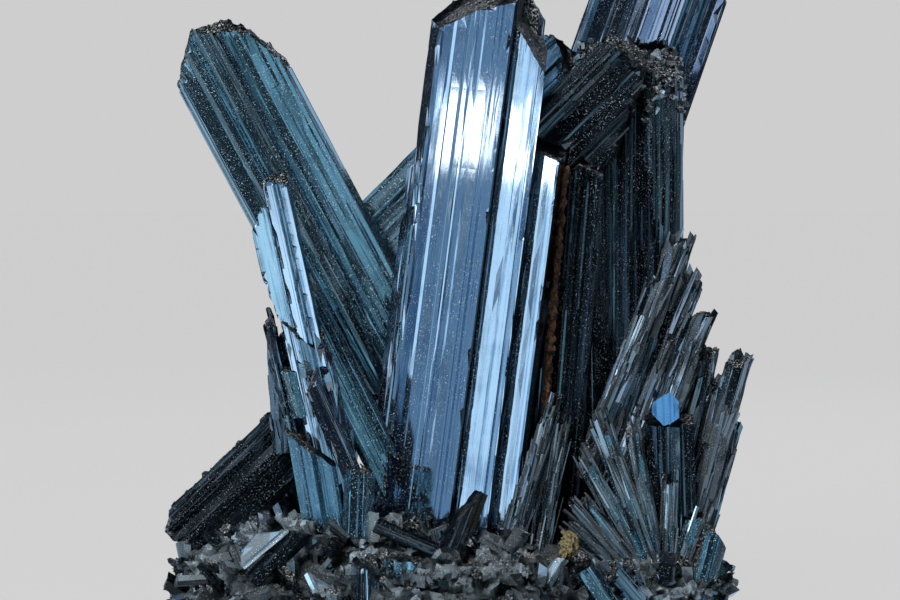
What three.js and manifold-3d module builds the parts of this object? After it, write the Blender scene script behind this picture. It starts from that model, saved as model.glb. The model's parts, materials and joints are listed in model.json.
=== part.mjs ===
// A stibnite crystal spray: long striated prisms and fans of thin blades standing in a rough crust.
// Millimetres, +Z up. X runs to the right and Y to the back when the spray is seen from its front.
// The origin is the middle of the whole spray's outline, on the surface that it stands on.
import * as THREE from 'three';
import { mergeVertices } from 'three/addons/utils/BufferGeometryUtils.js';
import Module from 'manifold-3d';

const wasm = await Module();
wasm.setup();

// ---------------------------------------------------------------- driving dimensions
const GAP = 0.3;              // clearance between two pieces that grew against each other
const ROOT = 20;              // height at which most crystals come out of the crust
const CRUST = {
  halfWidth: 70, halfDepth: 38, middle: 15, topRise: 13, belly: 34, facets: 5, bumps: 3,
};

// ---------------------------------------------------------------- finishes
const FINISHES = {
  bright: { color: 0x6f8fae, roughness: 0.22, metalness: 1 },
  teal: { color: 0x3d545e, roughness: 0.34, metalness: 1 },
  dark: { color: 0x2b3338, roughness: 0.32, metalness: 1 },
  crust: { color: 0x3c4244, roughness: 0.55, metalness: 0.7 },
  ochre: { color: 0x8a7337, roughness: 0.8, metalness: 0 },
};
const materials = Object.fromEntries(Object.entries(FINISHES).map(
  ([name, look]) => [name, new THREE.MeshStandardMaterial({ name, ...look })]));

// ---------------------------------------------------------------- solids and cuts
function solidFrom(geometry) {
  const bare = geometry.index ? geometry.toNonIndexed() : geometry.clone();
  bare.deleteAttribute('normal');
  bare.deleteAttribute('uv');
  const merged = mergeVertices(bare, 1e-4);
  return new wasm.Manifold(new wasm.Mesh({
    numProp: 3,
    vertProperties: merged.attributes.position.array,
    triVerts: new Uint32Array(merged.index.array),
  }));
}

function geometryFrom(solid) {
  const mesh = solid.getMesh();
  const geometry = new THREE.BufferGeometry();
  geometry.setAttribute('position', new THREE.BufferAttribute(mesh.vertProperties, 3));
  geometry.setIndex(new THREE.BufferAttribute(mesh.triVerts, 1));
  geometry.computeVertexNormals();
  return geometry;
}

// Removes what lies past a plane. The plane goes through a point and faces away from what stays.
function cutAway(solid, plane, extra) {
  const facing = new THREE.Vector3(...plane.facing).normalize();
  const offset = facing.dot(new THREE.Vector3(...plane.through)) + extra;
  return solid.trimByPlane(facing.clone().negate().toArray(), -offset);
}

function largestPiece(solid) {
  return solid.decompose().sort((a, b) => b.volume() - a.volume())[0];
}

// ---------------------------------------------------------------- cross-sections
// A section is a list of [across, back] points, anticlockwise, seen from the tip.

// Moves every side of an outline outwards by the same distance.
function widened(outline, distance) {
  return outline.map((point, i) => {
    const before = outline[(i + outline.length - 1) % outline.length];
    const after = outline[(i + 1) % outline.length];
    const normalOf = (a, b) => new THREE.Vector2(b[1] - a[1], a[0] - b[0]).normalize();
    const first = normalOf(before, point);
    const second = normalOf(point, after);
    const miter = first.clone().add(second).divideScalar(1 + first.dot(second));
    return [point[0] + miter.x * distance, point[1] + miter.y * distance];
  });
}

// A prism whose front climbs in steps: broad treads face left, short risers face right.
// Each tread is a share of the width. Slope is how far a tread comes forward over its own width.
function stepped(width, depth, treads, slope = 0.5, riserShare = 0.2) {
  const front = [[-width / 2, 0]];
  const total = treads.reduce((sum, share) => sum + share, 0);
  for (const share of treads) {
    const [x, y] = front.at(-1);
    const run = width * share / total;
    const tread = run * (1 - riserShare);
    front.push([x + tread, y - tread * slope]);
    front.push([x + run, y - tread * slope + tread * slope * 0.9]);
  }
  const [endX, endY] = front.at(-1);
  return [
    ...front,
    [endX - width * 0.02, endY + depth * 0.5],
    [endX - width * 0.2, endY + depth * 0.82],
    [-width * 0.22, depth * 0.85],
    [-width * 0.49, depth * 0.42],
  ];
}

// A six-sided blade, flatter than it is wide.
function blade(width, depth) {
  return [
    [-width / 2, -depth * 0.1], [-width * 0.16, -depth / 2], [width * 0.3, -depth * 0.42],
    [width / 2, depth * 0.05], [width * 0.2, depth / 2], [-width * 0.32, depth * 0.44],
  ];
}

// An eight-sided column with one broad front face.
function column(width, depth) {
  return [
    [-width / 2, -depth * 0.08], [-width * 0.3, -depth * 0.44], [width * 0.16, -depth / 2],
    [width * 0.42, -depth * 0.3], [width / 2, depth * 0.12], [width * 0.28, depth / 2],
    [-width * 0.24, depth * 0.46], [-width * 0.46, depth * 0.2],
  ];
}

// ---------------------------------------------------------------- one crystal
// The crystal's own frame: along the axis, across it towards +X, and back towards +Y.
function frameOf(foot, tip) {
  const along = new THREE.Vector3(...tip).sub(new THREE.Vector3(...foot)).normalize();
  const sideways = Math.abs(along.x) > 0.9 ? new THREE.Vector3(0, 0, -1) : new THREE.Vector3(1, 0, 0);
  const across = sideways.addScaledVector(along, -sideways.dot(along)).normalize();
  const back = new THREE.Vector3().crossVectors(along, across);
  return new THREE.Matrix4().makeBasis(across, back, along).setPosition(...foot);
}

// Cuts the top of a crystal to a tilted face, given as how far the face leans [across, back].
function leaningTop(foot, tip, lean, drop = 0, shift = [0, 0]) {
  const frame = frameOf(foot, tip);
  const length = new THREE.Vector3(...tip).distanceTo(new THREE.Vector3(...foot));
  const through = new THREE.Vector3(shift[0], shift[1], length - drop).applyMatrix4(frame);
  const facing = new THREE.Vector3(lean[0], lean[1], 1).transformDirection(frame);
  return { through: through.toArray(), facing: facing.toArray() };
}

// One straight prism from foot to tip, trimmed by its planes. Extra makes it larger all over.
function prism({ foot, tip, section, turn = 0, tops = [], planes = [] }, extra) {
  const length = new THREE.Vector3(...tip).distanceTo(new THREE.Vector3(...foot));
  const outline = widened(section, extra).map(([x, y]) => new THREE.Vector2(x, y));
  const geometry = new THREE.ExtrudeGeometry(new THREE.Shape(outline), {
    depth: length + 2 * extra, bevelEnabled: false,
  });
  geometry.translate(0, 0, -extra);
  geometry.rotateZ(THREE.MathUtils.degToRad(turn));
  geometry.applyMatrix4(frameOf(foot, tip));
  let solid = solidFrom(geometry);
  for (const plane of planes) solid = cutAway(solid, plane, extra);
  for (const top of tops) {
    solid = cutAway(solid, leaningTop(foot, tip, top.lean, top.drop, top.shift), extra);
  }
  return solid;
}

// A crystal is one prism, or several that grew into each other and are one solid.
function joined(columns, extra) {
  return columns.map((one) => prism(one, extra)).reduce((all, next) => all.add(next));
}

// ---------------------------------------------------------------- the tall crystals
// How steeply the central crystal's broad face, and its narrower bands, turn to the left.
const BROAD_TURN = Math.tan(THREE.MathUtils.degToRad(24.5));
const BAND_TURN = Math.tan(THREE.MathUtils.degToRad(31.5));

// Four columns side by side make one crystal. Its front climbs from the broad face over a dark riser
// to the second band, and over another to the third, whose column ends lower, in a ledge.
function centralCrystal() {
  const foot = [-20.6, 0, 15];
  const tip = [-0.9, 0, 169];
  const widths = { broad: 18, second: 8.6, third: 5.2 };
  const firstRiser = { width: 0.9, depth: 2.14 };
  const lastRiser = { width: 1, depth: 2.42 };
  const corner1 = [widths.broad, -widths.broad * BROAD_TURN];
  const corner2 = [corner1[0] + firstRiser.width, corner1[1] + firstRiser.depth];
  const corner3 = [corner2[0] + widths.second, corner2[1] - widths.second * BAND_TURN];
  const corner4 = [corner3[0] + lastRiser.width, corner3[1] + lastRiser.depth];
  const corner5 = [corner4[0] + widths.third, corner4[1] - widths.third * BAND_TURN];
  const broadColumn = {
    foot, tip,
    section: [[0, 0], corner1, corner2, [21, 4], [20, 14], [12, 18.5], [-2.3, 8.5]],
    planes: [
      { through: [6.25, -3.99, 159], facing: [-0.356, -0.45, 0.85] },
      { through: [-2.5, 0, 155.25], facing: [-0.481, -0.35, 0.75] },
      { through: [10, 6, 166], facing: [0.1, 0.6, 0.76] },
    ],
  };
  const secondColumn = {
    foot, tip,
    section: [[18.5, 0], [corner2[0] - 0.5, corner2[1] + 0.5 * BAND_TURN], corner3, [27.8, 1.8],
      [24, 8], [18.5, 8]],
    planes: [{ through: [17.5, corner2[1], 154.25], facing: [0.74, -0.37, 0.56] }],
  };
  const backColumn = {
    foot, tip,
    section: [[16, 3], [24.5, 1.6], [25.8, 4], [26.6, 12], [17, 14.5]],
    planes: [
      { through: [21, 5, 162.8], facing: [0.3, -0.25, 0.92] },
      { through: [23, 4, 158.6], facing: [0.85, -0.1, 0.5] },
    ],
  };
  const ledgeColumn = {
    foot, tip,
    section: [[25.5, 0.5], [corner3[0] - 0.1, corner3[1] + 0.2], corner4, corner5, [36.4, 4.5],
      [33, 11.5], [25.5, 11.5]],
    planes: [{ through: [24, -7, 123.6], facing: [0.3, -0.22, 0.93] }],
  };
  const sideRib = {
    foot, tip,
    section: [[-3.6, 7.5], [-0.8, 1.2], [2, 1.5], [4, 9], [0, 11.5]],
    planes: [{ through: [-3, 3, 125], facing: [-0.5, 0.1, 0.86] }],
  };
  return {
    name: 'central_crystal', finish: 'bright',
    columns: [broadColumn, secondColumn, backColumn, ledgeColumn, sideRib],
  };
}

function leftCrystal() {
  const foot = [10.1, 22, 22];
  const tip = [-62.4, 11, 159];
  return {
    name: 'left_crystal', finish: 'teal',
    columns: [{
      foot, tip,
      section: [[-15.6, 4], [-13.4, 0.2], [-6.4, -2.8], [-5.6, -2], [0.4, -5], [1.4, -3.8],
        [11.8, -3.2], [13.2, 1], [12.4, 6.5], [5, 12.5], [-7, 13], [-14.6, 9]],
      planes: [
        { through: [-57, 4, 152.4], facing: [0.02, -0.5, 0.86] },
        { through: [-67.2, 8, 149], facing: [-0.96, -0.12, 0.22] },
        { through: [-46, 8, 150], facing: [0.66, -0.14, 0.74] },
        { through: [-62.5, 12, 157], facing: [-0.36, 0.12, 0.92] },
        { through: [-53.4, 12, 157], facing: [0.44, 0.14, 0.88] },
        { through: [-60, 22, 154], facing: [-0.1, 0.66, 0.74] },
      ],
    }],
  };
}

function backRightCrystal() {
  const foot = [2.5, 27, 14];
  const tip = [62.4, 37, 186.5];
  return {
    name: 'back_right_crystal', finish: 'bright',
    columns: [{
      foot, tip,
      section: [[-17.4, 1], [-15.8, -2.2], [-8.2, -2.8], [-7.6, -2], [-1.4, -3], [5.2, -6.2],
        [8.2, -1.2], [10.1, -2.2], [13, 2.4], [16.4, 0.8], [17.6, 4.4], [14, 10.5], [2, 12.5],
        [-13, 8.6]],
      tops: [
        { lean: [0.35, -0.5], drop: 7, shift: [0, -3] },
        { lean: [-0.9, 0.1], drop: 8, shift: [-8, 0] },
        { lean: [0.9, 0.3], drop: 9, shift: [10, 0] },
        { lean: [-0.1, 0.8], drop: 4, shift: [0, 5] },
      ],
    }],
  };
}

function crossingCrystal() {
  return {
    name: 'crossing_crystal', finish: 'teal',
    columns: [{
      foot: [-31, 25, 85.3], tip: [34.5, 27, 150.8],
      section: stepped(26, 13, [3, 2, 4, 3], 0.24),
      planes: [{ through: [-34, 25, 92], facing: [-0.88, 0.2, -0.42] }],
      tops: [
        { lean: [0.5, -0.5], drop: 6, shift: [0, 0] },
        { lean: [-0.7, 0.2], drop: 2, shift: [-7, 0] },
      ],
    }],
  };
}

function tiltedCrystal() {
  return {
    name: 'tilted_crystal', finish: 'dark',
    columns: [{
      foot: [11, 9, 108], tip: [54, 9, 151],
      section: [[-12, 0], [-10.6, -3.4], [-6.2, -4.2], [-5.6, -3.2], [-1.4, -5.4], [-1, -4.4],
        [4.2, -7], [5.6, -3.8], [10.6, -4.6], [12, 0.4], [7, 5], [-6, 5.6], [-11.4, 3.2]],
      planes: [
        { through: [45.5, 0, 137.5], facing: [0.9, -0.22, -0.31] },
        { through: [44, 3, 147.5], facing: [0.5, -0.42, 0.74] },
        { through: [38.5, 8, 154.4], facing: [-0.1, 0.1, 1] },
        { through: [49, 8, 150], facing: [1, -0.1, 0.25] },
      ],
    }],
  };
}

function rightCrystal() {
  const main = {
    foot: [50, 16, 18], tip: [50.2, 16, 158],
    section: [[-17.6, 1.4], [-16.8, -3.4], [-10.6, -4.6], [-10, -3.8], [-4.2, -5.6], [-3.4, -4.6],
      [1.6, -7.6], [2.4, -6.8], [7.2, -7.4], [9.4, -4.4], [9.6, 2], [6, 7.8], [-10, 8.2], [-16, 5.6]],
    planes: [
      { through: [50, 8.4, 142], facing: [0.1, -0.62, 0.78] },
      { through: [50, 20, 155], facing: [-0.1, 0.5, 0.86] },
      { through: [58.4, 12, 151], facing: [0.85, -0.1, 0.52] },
    ],
  };
  const inner = {
    foot: [37, 12.4, 18], tip: [35.5, 12.4, 126],
    section: column(12, 13),
    turn: -12,
    tops: [{ lean: [-0.1, -0.7], drop: 5, shift: [0, -3] }, { lean: [-0.6, 0.2], drop: 4, shift: [-4, 0] }],
  };
  return { name: 'right_crystal', finish: 'dark', columns: [main, inner] };
}

function rightFrontCrystal() {
  return {
    name: 'right_front_crystal', finish: 'dark',
    columns: [{
      foot: [25, 4, 18], tip: [33, 4, 122],
      section: stepped(12.5, 12, [3, 2, 2, 2, 3], 0.42, 0.3),
      turn: 6,
      tops: [
        { lean: [0.35, -0.5], drop: 3.4, shift: [2, -3] },
        { lean: [-0.7, -0.2], drop: 3, shift: [-3, 0] },
      ],
    }],
  };
}

function lowerLeftCrystal() {
  return {
    name: 'lower_left_crystal', finish: 'dark',
    columns: [{
      foot: [-69.5, 11, 23.5], tip: [-20, 24, 70],
      section: [[-9, -1], [-7.4, -4.6], [-3, -5.6], [-2.6, -5], [2.4, -6.2], [2.8, -5.4], [8.6, -5],
        [9.4, 1], [6, 6], [-4, 7], [-8.4, 3.4]],
      planes: [
        { through: [-72.2, 8, 29], facing: [-0.93, -0.1, 0.16] },
        { through: [-69, 4, 28], facing: [-0.5, -0.84, -0.1] },
      ],
    }],
  };
}

function leftInnerCrystal() {
  return {
    name: 'left_inner_crystal', finish: 'teal',
    columns: [{
      foot: [-11, 2, 34], tip: [-38.6, -1, 91],
      section: [[-5, -0.5], [-3.6, -3], [2, -2], [4, -3.4], [4.8, -1], [4.2, 3.5], [-3.5, 4]],
      planes: [
        { through: [-34.6, -3, 89.6], facing: [-0.86, -0.2, 0.47] },
        { through: [-34.6, -2, 90], facing: [0.3, -0.3, 0.9] },
      ],
    }],
  };
}

function frontLeftCrystal() {
  const foot = [-25.5, -7, 34];
  const tip = [-43.9, -10, 119];
  const twinRidge = {
    foot, tip,
    section: [[-3.6, 2.6], [-3.4, -0.2], [-2.8, -1.1], [-0.6, -1.9], [-0.1, -0.6], [0.5, -0.8], [1, -2.1],
      [2.7, -2.7], [3.4, -0.4], [3.3, 3.2]],
    planes: [
      { through: [-43.4, -10, 117.6], facing: [0.1, -0.5, 0.86] },
      { through: [-46, -10, 116.4], facing: [-0.7, -0.2, 0.7] },
    ],
  };
  const plate = {
    foot, tip,
    section: [[-8.6, 3.4], [-8.3, 1], [-3.2, -0.3], [-2.6, 3.6]],
    planes: [
      { through: [-49, -9, 109.6], facing: [-0.25, -0.1, 0.95] },
      { through: [-49.6, -9, 103], facing: [-0.93, -0.1, 0.34] },
      { through: [-49.4, -9, 100], facing: [-0.93, -0.1, -0.36] },
      { through: [-46, -9, 84], facing: [-0.9, -0.1, -0.3] },
    ],
  };
  const sleeve = {
    foot, tip,
    section: [[-6.4, 3], [-6, -0.9], [-3, -2.1], [4, -1.6], [4.6, 0.5], [4, 4]],
    planes: [
      { through: [-37, -8, 83], facing: [-0.2, -0.35, 0.91] },
      { through: [-34, -8, 76], facing: [0.6, -0.2, 0.77] },
    ],
  };
  return { name: 'front_left_crystal', finish: 'bright', columns: [twinRidge, plate, sleeve] };
}

// ---------------------------------------------------------------- broken pieces on the left
const LEFT_SHARDS = [
  { name: 'split_blade', finish: 'teal', foot: [-35.5, -3, 36], tip: [-46, -3, 83.5],
    section: [[-1.3, 4.5], [-1, -4.6], [0.2, -6], [1.4, -4], [1.2, 4.8]],
    tops: [{ lean: [-0.8, -0.4], drop: 2.5 }] },
  { name: 'left_back_shard', finish: 'dark', foot: [-41, 5, 48], tip: [-43.2, 6, 82.5],
    section: blade(8.6, 8), turn: 20, tops: [{ lean: [-0.8, -0.2], drop: 5 }] },
  { name: 'lens_plate', finish: 'teal', foot: [-36.6, -8, 58], tip: [-41, -8.5, 73],
    section: blade(4.6, 3.4), tops: [{ lean: [0.5, -0.9], drop: 2.4 }, { lean: [-0.8, 0], drop: 1.4 }] },
  { name: 'bright_stub', finish: 'bright', foot: [-20.5, -13, 36], tip: [-35.3, -14, 69.4],
    section: [[-2.6, 0.6], [-2.3, -1.2], [1.5, -2.6], [2.4, -0.6], [2.2, 2.6], [-1.6, 2.8]],
    tops: [{ lean: [-0.9, -0.3], drop: 2.6 }] },
  { name: 'lower_block', finish: 'teal', foot: [-29.5, -14, 22], tip: [-35.6, -12, 57],
    section: stepped(10.5, 9, [3, 2], 0.35), tops: [{ lean: [0.95, -0.4], drop: 7 }] },
  { name: 'small_teal_crystal', finish: 'teal', foot: [-23, -16, 24], tip: [-22.2, -14, 47],
    section: column(7.6, 7), tops: [{ lean: [0.1, -0.4], drop: 1 }, { lean: [0.8, 0], drop: 1.6, shift: [2, 0] }] },
];

// ---------------------------------------------------------------- small pieces along the front
const FRONT_PIECES = [
  { name: 'wedge_crystal', finish: 'dark', foot: [-3, -25, 16], tip: [6.6, -21, 41],
    section: [[-4.6, 0.4], [-1.6, -2.6], [0.6, -3], [3, -0.4], [2, 3], [-3, 3.4]],
    planes: [{ through: [5.4, -22, 38.6], facing: [-0.74, -0.2, 0.62] }] },
  { name: 'front_slab', finish: 'dark', foot: [-18, -26, 33], tip: [-3, -25, 26.4],
    section: blade(4, 4.4), tops: [{ lean: [0.1, 0.1], drop: 0.4 }] },
  { name: 'bright_block', finish: 'bright', foot: [-20.2, -33, 15], tip: [-20, -33.4, 26],
    section: column(7.4, 8), tops: [{ lean: [0.1, -0.3], drop: 1 }, { lean: [0.9, 0], drop: 2.4 }] },
  { name: 'grey_block', finish: 'teal', foot: [-12.4, -31, 8], tip: [-11.8, -31.5, 26],
    section: stepped(8, 7, [2, 1], 0.25), tops: [{ lean: [0.12, -0.2], drop: 1 }] },
  { name: 'light_plate', finish: 'bright', foot: [-49, -30.5, 22], tip: [-40, -28.5, 32.5],
    section: [[-4.6, 0.6], [-4.2, -0.8], [3.6, -0.8], [3.8, 0.8]],
    planes: [
      { through: [-50.6, -30, 30], facing: [-1, 0, 0.02] },
      { through: [-45, -30, 26.6], facing: [0.64, 0, -0.77] },
      { through: [-45, -30, 31.4], facing: [-0.1, 0, 1] },
    ] },
  { name: 'dark_plate', finish: 'dark', foot: [-48, -29, 19], tip: [-34.6, -24, 32.4],
    section: blade(5.4, 4), tops: [{ lean: [-0.6, -0.3], drop: 2 }] },
  { name: 'white_shard', finish: 'bright', foot: [18.8, -34, 13], tip: [27.4, -31, 26],
    section: blade(3.4, 4), turn: -20, tops: [{ lean: [-0.5, 0.2], drop: 1 }] },
  { name: 'dark_stub', finish: 'dark', foot: [24, -30, 14], tip: [30.5, -30.6, 24],
    section: column(6.5, 6), tops: [{ lean: [0.7, -0.5], drop: 2 }] },
  { name: 'grey_prism', finish: 'teal', foot: [41.5, -30, 9], tip: [30, -31, 26],
    section: column(6.4, 6.6), turn: 10, tops: [{ lean: [0.2, -0.6], drop: 1.5 }] },
  { name: 'blue_prism', finish: 'bright', foot: [50.5, -28, 9], tip: [38, -27, 23.5],
    section: blade(5.4, 6), tops: [{ lean: [-0.4, -0.6], drop: 1.5 }] },
];

// ---------------------------------------------------------------- fans of blades on the right
// One blade of a fan, given by its two ends, its width and its thickness.
function fanBlade(foot, tip, width, depth, lean = [-0.6, -0.4]) {
  return { foot, tip, section: blade(width, depth), tops: [{ lean, drop: width * 0.35 }] };
}

function needleBundle() {
  const blades = 7;
  const columns = [];
  for (let i = 0; i < blades; i += 1) {
    const top = [14.4 + 1.85 * i, -16.5 + 1.1 * i, 31 + 5 * i];
    const length = top[2] - ROOT + 6;
    const foot = [top[0] - 0.26 * length, top[1] - 2.5, ROOT - 6];
    columns.push(fanBlade(foot, top, 3.6, 4.4, [-0.8, -0.5]));
  }
  columns.push(fanBlade([20.5, -13, ROOT - 4], [27.5, -8, 56], 5, 5, [0.4, -0.6]));
  columns.push(fanBlade([26, -12, ROOT - 4], [31, -7.5, 47], 5.2, 5, [0.5, -0.6]));
  return { name: 'needle_bundle', finish: 'dark', columns };
}

function upperRightSpray() {
  return {
    name: 'upper_right_spray', finish: 'dark',
    columns: [
      fanBlade([33.5, -2, 42], [53.5, 0, 93], 6, 6, [-0.7, -0.3]),
      fanBlade([38, 0, 42], [58.8, 3, 103], 6.4, 7, [-0.5, -0.5]),
      fanBlade([41.5, -2, 40], [62, 1, 93.5], 6, 6, [0.4, -0.5]),
      fanBlade([44, -3, 38], [64.6, -1, 84.5], 6, 6, [-0.3, -0.5]),
      fanBlade([47, -4, 36], [61.6, -3, 76.5], 5.6, 5.6, [0.3, -0.5]),
    ],
  };
}

function rightEdgeSpray() {
  return {
    name: 'right_edge_spray', finish: 'dark',
    columns: [
      fanBlade([53, 2, 16], [65, 1, 75.6], 6.6, 6, [-0.2, -0.5]),
      fanBlade([56, 0, 16], [69.4, -2, 68], 5.6, 6, [0.3, -0.5]),
      fanBlade([57.5, -3, 16], [73, -4, 73.6], 6.6, 6, [-0.1, -0.4]),
      fanBlade([59, 4, 14], [71.2, 3, 59], 7.6, 7, [0.8, 0.1]),
    ],
  };
}

function standingCrystal() {
  return {
    name: 'standing_crystal', finish: 'dark',
    columns: [{
      foot: [56, -8, 12], tip: [54.6, -7, 58.4],
      section: [[-6, 2], [-5.8, -2.2], [-3.4, -3.4], [-3, -2.8], [2.2, -4.6], [3, -2.4], [6, -3], [6.2, 3], [-2, 5]],
      tops: [{ lean: [0.05, -0.4], drop: 1.2 }],
    }],
  };
}

// Blades that spread from one hub. Each spoke gives its lean from upright in degrees, its length,
// its width, and how far to the back it stands at its foot and at its tip.
function fan(name, finish, hub, spokes, depth = 4.2) {
  const columns = spokes.map(({ lean, length, width, from = 0, to = 2 }) => {
    const angle = THREE.MathUtils.degToRad(lean);
    const tip = [hub[0] + length * Math.sin(angle), hub[1] + to, hub[2] + length * Math.cos(angle)];
    return fanBlade([hub[0], hub[1] + from, hub[2]], tip, width, depth, [-0.5, -0.5]);
  });
  return { name, finish, columns };
}

const lowerRightFan = () => fan('lower_right_fan', 'teal', [53.5, -15, 12], [
  { lean: -50, length: 32, width: 6.4, from: -1, to: 1 },
  { lean: -40, length: 34, width: 5, from: -2.5, to: -0.5 },
  { lean: -30, length: 41, width: 4.2, from: -0.5, to: 1.5 },
  { lean: -20, length: 48, width: 5.4, from: 0, to: 2 },
  { lean: -11, length: 45, width: 4, from: 1.5, to: 3.5 },
  { lean: 2, length: 30, width: 4, from: 0.5, to: 2.5 },
  { lean: 20, length: 25, width: 5.6, from: 1, to: 3 },
]);

const backLeftFan = () => fan('back_left_fan', 'dark', [-33, 20, 12], [
  { lean: -52, length: 32, width: 7, from: 1, to: 8 },
  { lean: -36, length: 36, width: 6, from: 2, to: 12 },
  { lean: -20, length: 41, width: 8, from: 0, to: 13 },
  { lean: -5, length: 56, width: 6.4, from: 2, to: 16 },
  { lean: 9, length: 47, width: 7, from: 3, to: 19 },
], 6);

const backRightFan = () => fan('back_right_fan', 'teal', [40, 24, 12], [
  { lean: -20, length: 41, width: 7, from: 2, to: 15 },
  { lean: -5, length: 56, width: 7.4, from: 1, to: 12 },
  { lean: 11, length: 72, width: 8.4, from: 3, to: 11 },
  { lean: 25, length: 58, width: 6.6, from: 1, to: 8 },
  { lean: 38, length: 44, width: 7, from: -1, to: 5 },
], 6);

const RIGHT_PIECES = [
  { name: 'blue_plate', finish: 'bright', foot: [53.6, -12.4, 56.2], tip: [53.4, -12, 64],
    section: [[-3.4, 0.5], [-3.2, -0.8], [3.2, -1], [3.4, 0.6]],
    planes: [
      { through: [51, -12, 58], facing: [-0.7, 0, -0.7] },
      { through: [56, -12, 57.6], facing: [0.6, 0, -0.8] },
      { through: [51.4, -12, 62.6], facing: [-0.6, 0, 0.8] },
      { through: [56, -12, 62.8], facing: [0.7, 0, 0.7] },
    ] },
  { name: 'right_foot_crystal', finish: 'teal', foot: [61, -13, 12], tip: [66.4, -12, 33],
    section: column(8, 8), tops: [{ lean: [0.3, -0.4], drop: 2 }, { lean: [0.9, 0], drop: 3 }] },
];

// ---------------------------------------------------------------- short crystals at the back
const BACK_PIECES = [
  { name: 'back_stub_left', finish: 'teal', foot: [-50, 22, 14], tip: [-58, 30, 38],
    section: column(10, 9), turn: 160, tops: [{ lean: [0.5, 0.5], drop: 4 }] },
  { name: 'back_stub_middle', finish: 'dark', foot: [-10, 29, 12], tip: [-15, 40, 66],
    section: stepped(10, 9, [2, 3, 2], 0.4), turn: 180, tops: [{ lean: [0.6, 0.3], drop: 4 }] },
  { name: 'back_stub_right', finish: 'teal', foot: [15, 32, 12], tip: [21, 41, 50],
    section: column(9, 8), turn: 190, tops: [{ lean: [-0.5, 0.5], drop: 4 }] },
];

// ---------------------------------------------------------------- the crust
// Smooth bumps that repeat nowhere over the crust, from a few waves in different directions.
function bump(x, y, z) {
  return Math.sin(x * 0.19 + y * 0.11 + 1.3) * Math.cos(y * 0.23 - z * 0.31)
    + 0.6 * Math.sin(x * 0.41 - y * 0.37 + z * 0.5 + 0.4)
    + 0.4 * Math.cos(x * 0.73 + y * 0.61 - z * 0.7);
}

function crustBlank() {
  const geometry = new THREE.IcosahedronGeometry(1, CRUST.facets);
  const position = geometry.attributes.position;
  for (let i = 0; i < position.count; i += 1) {
    const [px, py, pz] = [position.getX(i), position.getY(i), position.getZ(i)];
    const flat = Math.hypot(px, py) ** 0.72 / Math.max(Math.hypot(px, py), 1e-6);
    let x = px * flat * CRUST.halfWidth;
    let y = py * flat * CRUST.halfDepth;
    let z = CRUST.middle + pz * (pz > 0 ? CRUST.topRise : CRUST.belly);
    const leftShoulder = 7 * Math.exp(-(((x + 40) / 24) ** 2) - (((y + 6) / 22) ** 2));
    const push = CRUST.bumps * bump(x, y, z);
    x += px * push;
    y += py * push;
    z += pz * push + (pz > 0 ? leftShoulder * pz : 0);
    position.setXYZ(i, x, y, z);
  }
  return cutAway(solidFrom(geometry), { through: [0, 0, 0], facing: [0, 0, -1] }, 0);
}

function ochreBlank(extra) {
  const geometry = new THREE.IcosahedronGeometry(1, 1);
  const position = geometry.attributes.position;
  for (let i = 0; i < position.count; i += 1) {
    const [px, py, pz] = [position.getX(i), position.getY(i), position.getZ(i)];
    const swell = 1 + 0.16 * Math.sin(px * 5 + pz * 4) * Math.cos(py * 6 + px * 3);
    position.setXYZ(i, 29 + px * (2.6 * swell + extra), -25 + py * (4 * swell + extra), 26 + pz * (6 * swell + extra));
  }
  return solidFrom(geometry);
}

// ---------------------------------------------------------------- growing the spray together
const single = (list) => list.map(({ name, finish, ...one }) => ({ name, finish, columns: [one] }));

// Crystals are listed in the order that they grew: each later one stops where it meets an earlier one.
const CRYSTALS = [
  centralCrystal(), leftCrystal(), rightCrystal(), backRightCrystal(), rightFrontCrystal(),
  tiltedCrystal(), crossingCrystal(), lowerLeftCrystal(), frontLeftCrystal(), leftInnerCrystal(),
  ...single(LEFT_SHARDS), ...single(FRONT_PIECES), standingCrystal(), rightEdgeSpray(), upperRightSpray(),
  lowerRightFan(), needleBundle(), ...single(RIGHT_PIECES), ...single(BACK_PIECES), backLeftFan(),
  backRightFan(),
];

const grown = [];
const boxesMeet = (a, b) => [0, 1, 2].every((k) => a.min[k] < b.max[k] && b.min[k] < a.max[k]);

function grow(name, finish, make) {
  let solid = make(0);
  for (const earlier of grown) {
    if (boxesMeet(solid.boundingBox(), earlier.room.boundingBox())) solid = solid.subtract(earlier.room);
  }
  grown.push({ name, finish, solid: largestPiece(solid), room: make(GAP) });
}

for (const { name, finish, columns } of CRYSTALS) grow(name, finish, (extra) => joined(columns, extra));
grow('ochre_grain', 'ochre', ochreBlank);
grow('crust', 'crust', () => crustBlank());

// ---------------------------------------------------------------- the scene graph
const spray = new THREE.Group();
for (const { name, finish, solid } of grown) {
  const mesh = new THREE.Mesh(geometryFrom(solid), materials[finish]);
  mesh.name = name;
  spray.add(mesh);
}

// The origin goes to the middle of the outline, at the height of the crust's flat underside.
const outline = new THREE.Box3().setFromObject(spray);
const middle = outline.getCenter(new THREE.Vector3());
spray.position.set(-middle.x, -middle.y, -outline.min.z);

export default spray;
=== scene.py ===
# %% [markdown]
# # A stibnite crystal spray
# Stibnite grows as long metallic prisms. Their sides are never plain: narrow parallel facets, called
# striations, run along each prism, and each facet mirrors a slightly different part of the room.
# The prisms stand in a rough crust of small broken crystals.
# The packed model gives every crystal as a plain prism. This lesson reads each of those solids and
# grows the real surface on it: ridges, ledges, chips and broken ends, all as mesh.

# %% Load the frame
import json
import math
import random
from bisect import bisect_right

import bmesh
import bpy
from mathutils import Matrix, Vector, noise
from mathutils.bvhtree import BVHTree


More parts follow.
